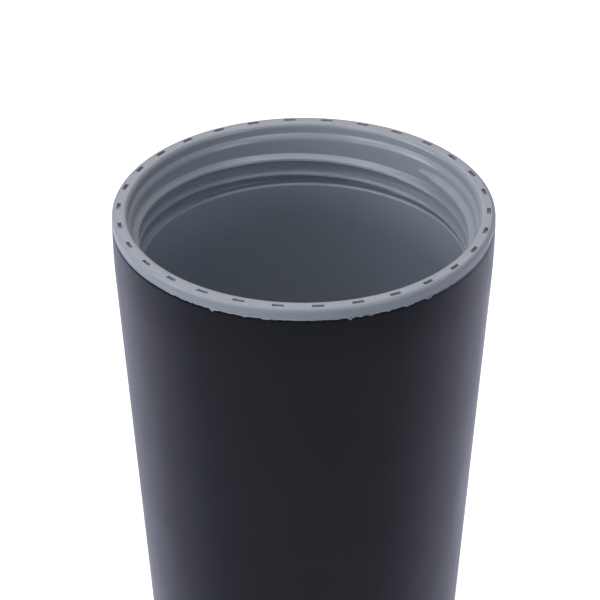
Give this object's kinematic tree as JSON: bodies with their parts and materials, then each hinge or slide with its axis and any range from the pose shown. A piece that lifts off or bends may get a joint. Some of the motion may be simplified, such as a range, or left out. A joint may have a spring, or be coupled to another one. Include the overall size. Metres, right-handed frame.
{
  "type": "rock tumbler barrel",
  "caption": "Open tapered double-wall tumbling barrel: pale liner with an internal screw thread and a flanged rim, dark outer shell, closed base with a drive socket.",
  "frame": {"origin": "centre of the base, on the plane that the barrel stands on", "axes": "+Z along the barrel's axis, out of the open mouth; +X and +Y across the barrel, with one rim pocket 1.67 degrees clockwise of +X seen from above"},
  "size_m": [0.116, 0.116, 0.155],
  "materials": {
    "liner_plastic": "semi-gloss moulded blue-grey plastic",
    "shell_plastic": "satin moulded plastic, nearly black",
    "cap_plastic": "satin moulded plastic, nearly black",
    "ring_rubber": "plain black rubber"
  },
  "bodies": {
    "root": {"inner_liner": "liner_plastic", "outer_shell": "shell_plastic", "base_cap": "cap_plastic", "centring_ring": "ring_rubber"}
  },
  "joints": []
}
